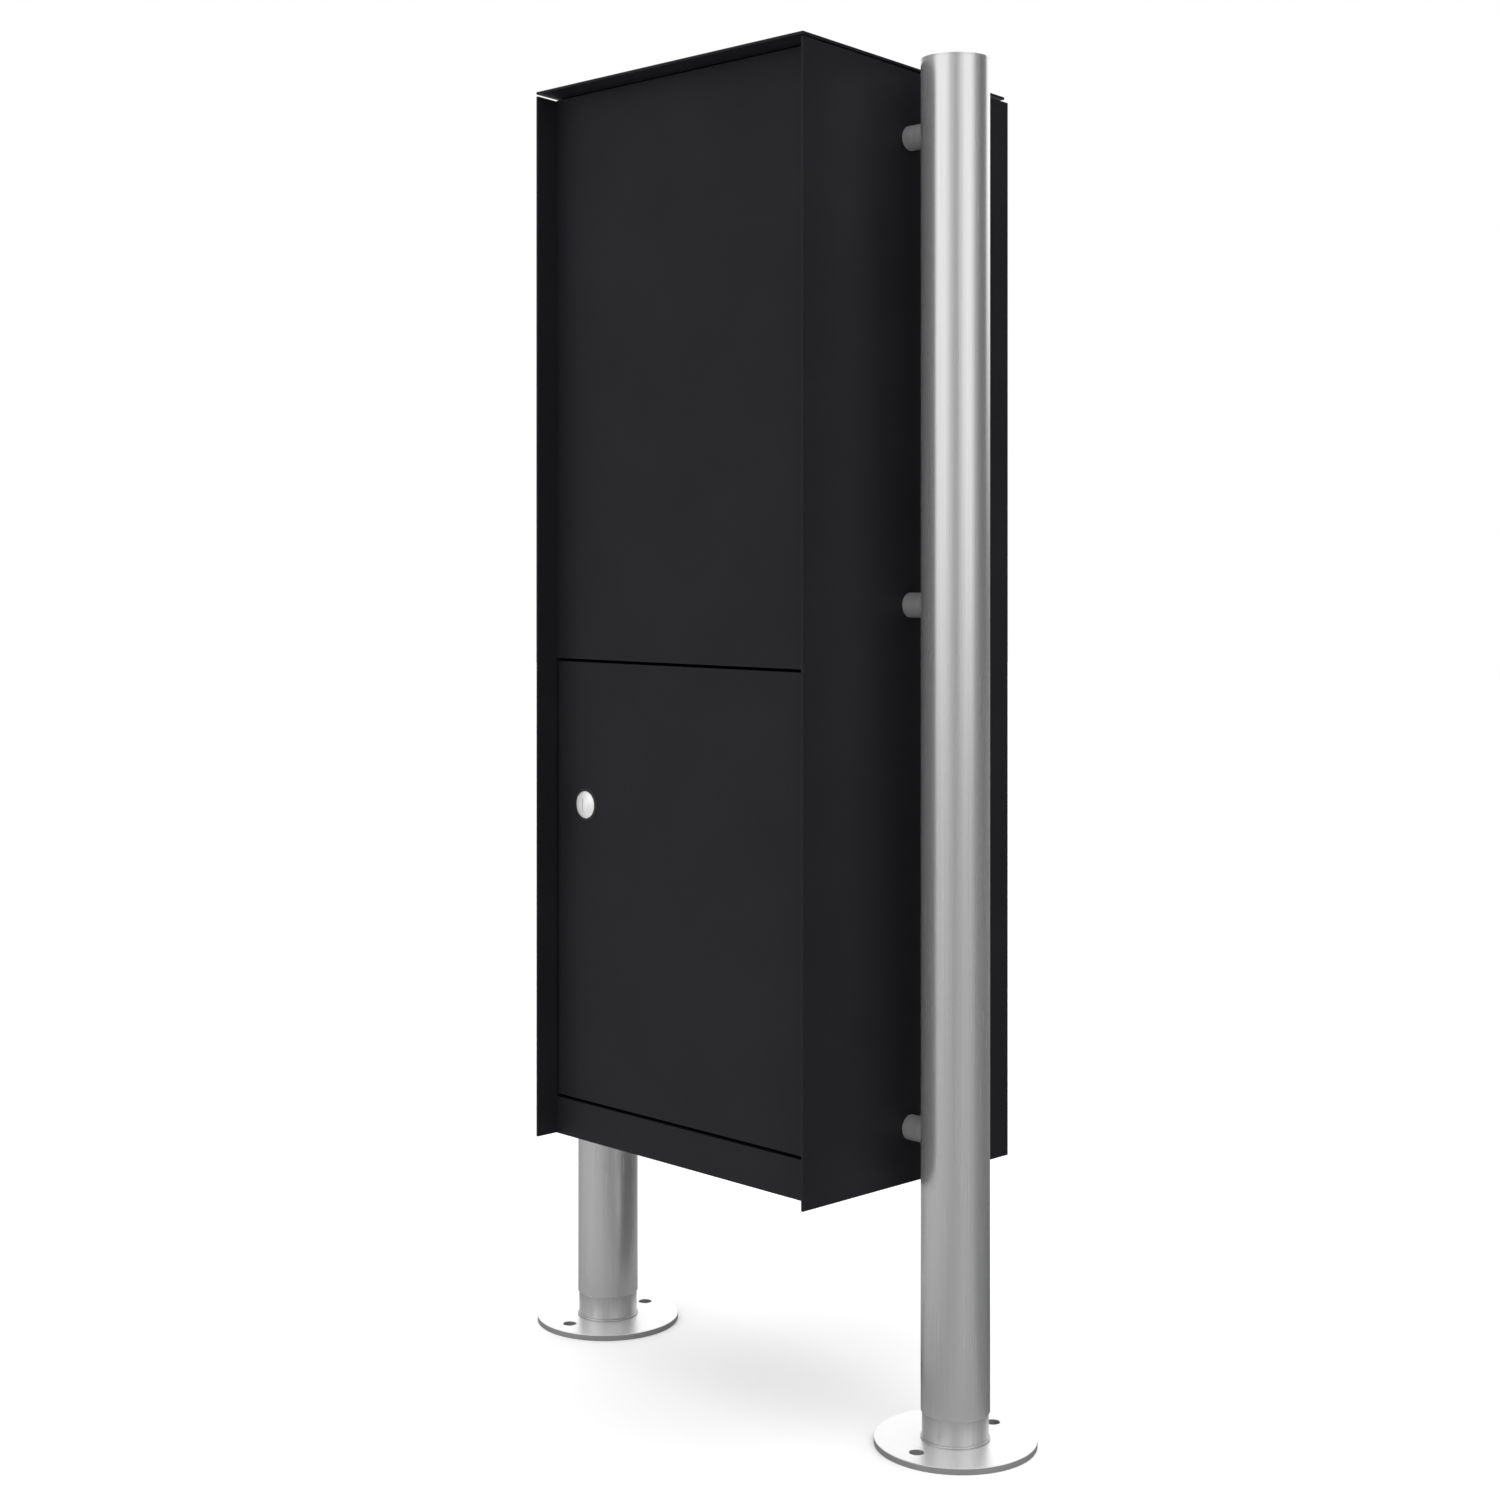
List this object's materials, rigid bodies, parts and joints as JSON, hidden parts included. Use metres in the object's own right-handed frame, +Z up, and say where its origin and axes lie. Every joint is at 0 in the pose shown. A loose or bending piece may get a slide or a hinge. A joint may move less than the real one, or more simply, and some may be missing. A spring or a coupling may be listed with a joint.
{
  "type": "parcel locker",
  "caption": "Sheet-metal parcel locker with a lockable front door and a rear drop-in hopper, carried between two round posts on base flanges.",
  "frame": {"origin": "on the ground, midway between the posts and at the casing's mid depth", "axes": "+Z up; +X right for a person collecting a parcel, who stands at -Y facing the door; the hopper is on the +Y side"},
  "size_m": [0.6032, 0.27, 1.2122],
  "materials": {
    "coated_steel": "matt fine-texture powder coat",
    "stainless": "satin brushed",
    "zinc_steel": "zinc plated",
    "lock_chrome": "satin chrome",
    "black_rubber": "matt",
    "bush_plastic": "moulded"
  },
  "bodies": {
    "root": {"left_post_tube": "stainless", "right_post_tube": "stainless", "left_post_cap": "stainless", "right_post_cap": "stainless", "left_base_flange": "stainless", "right_base_flange": "stainless", "left_base_spigot": "stainless", "right_base_spigot": "stainless", "left_foot_collar": "stainless", "right_foot_collar": "stainless", "post_grub_screws": "zinc_steel", "left_standoffs": "stainless", "right_standoffs": "stainless", "left_backing_strip": "coated_steel", "right_backing_strip": "coated_steel", "casing_washers": "zinc_steel", "casing_bolts": "zinc_steel", "left_side_wall": "coated_steel", "right_side_wall": "coated_steel", "roof_panel": "coated_steel", "left_roof_angle": "coated_steel", "right_roof_angle": "coated_steel", "roof_washers": "zinc_steel", "roof_nuts": "zinc_steel", "front_upper_panel": "coated_steel", "front_bottom_rail": "coated_steel", "floor_panel": "coated_steel", "floor_mat": "black_rubber", "rear_lower_panel": "coated_steel", "rear_top_rail": "coated_steel", "lock_jamb": "coated_steel", "hinge_jamb": "coated_steel", "door_seal": "black_rubber", "anti_fishing_baffle": "coated_steel", "door_hinge_bushes": "bush_plastic", "hopper_fixed_leaf": "stainless", "fixed_leaf_rivets": "zinc_steel", "hopper_hinge_pin": "zinc_steel"},
    "retrieval_door": {"door_skin": "coated_steel", "door_stiffener": "coated_steel", "door_pin_blocks": "coated_steel", "door_hinge_pins": "zinc_steel", "lock_housing": "lock_chrome", "lock_gasket": "black_rubber", "lock_nut": "zinc_steel"},
    "lock_plug": {"lock_plug": "lock_chrome", "lock_cam": "zinc_steel", "lock_cam_screw": "zinc_steel"},
    "deposit_hopper": {"flap_skin": "coated_steel", "flap_inner_panel": "coated_steel", "hopper_tray": "coated_steel", "left_hopper_cheek": "coated_steel", "right_hopper_cheek": "coated_steel", "hopper_moving_leaf": "stainless", "moving_leaf_rivets": "zinc_steel", "pull_handle": "stainless", "handle_screws": "zinc_steel", "flap_bumpers": "black_rubber"}
  },
  "joints": [
    {"name": "door_hinge", "type": "hinge", "parent": "root", "child": "retrieval_door", "pos_m": [0.163, -0.1053, 0.4616], "axis": [0, 0, 1], "range_deg": [0, 90]},
    {"name": "lock_turn", "type": "hinge", "parent": "retrieval_door", "child": "lock_plug", "pos_m": [-0.1312, -0.1, 0.5343], "axis": [0, 1, 0], "range_deg": [0, 90]},
    {"name": "hopper_hinge", "type": "hinge", "parent": "root", "child": "deposit_hopper", "pos_m": [0, 0.1153, 0.733], "axis": [-1, 0, 0], "range_deg": [0, 60]}
  ]
}
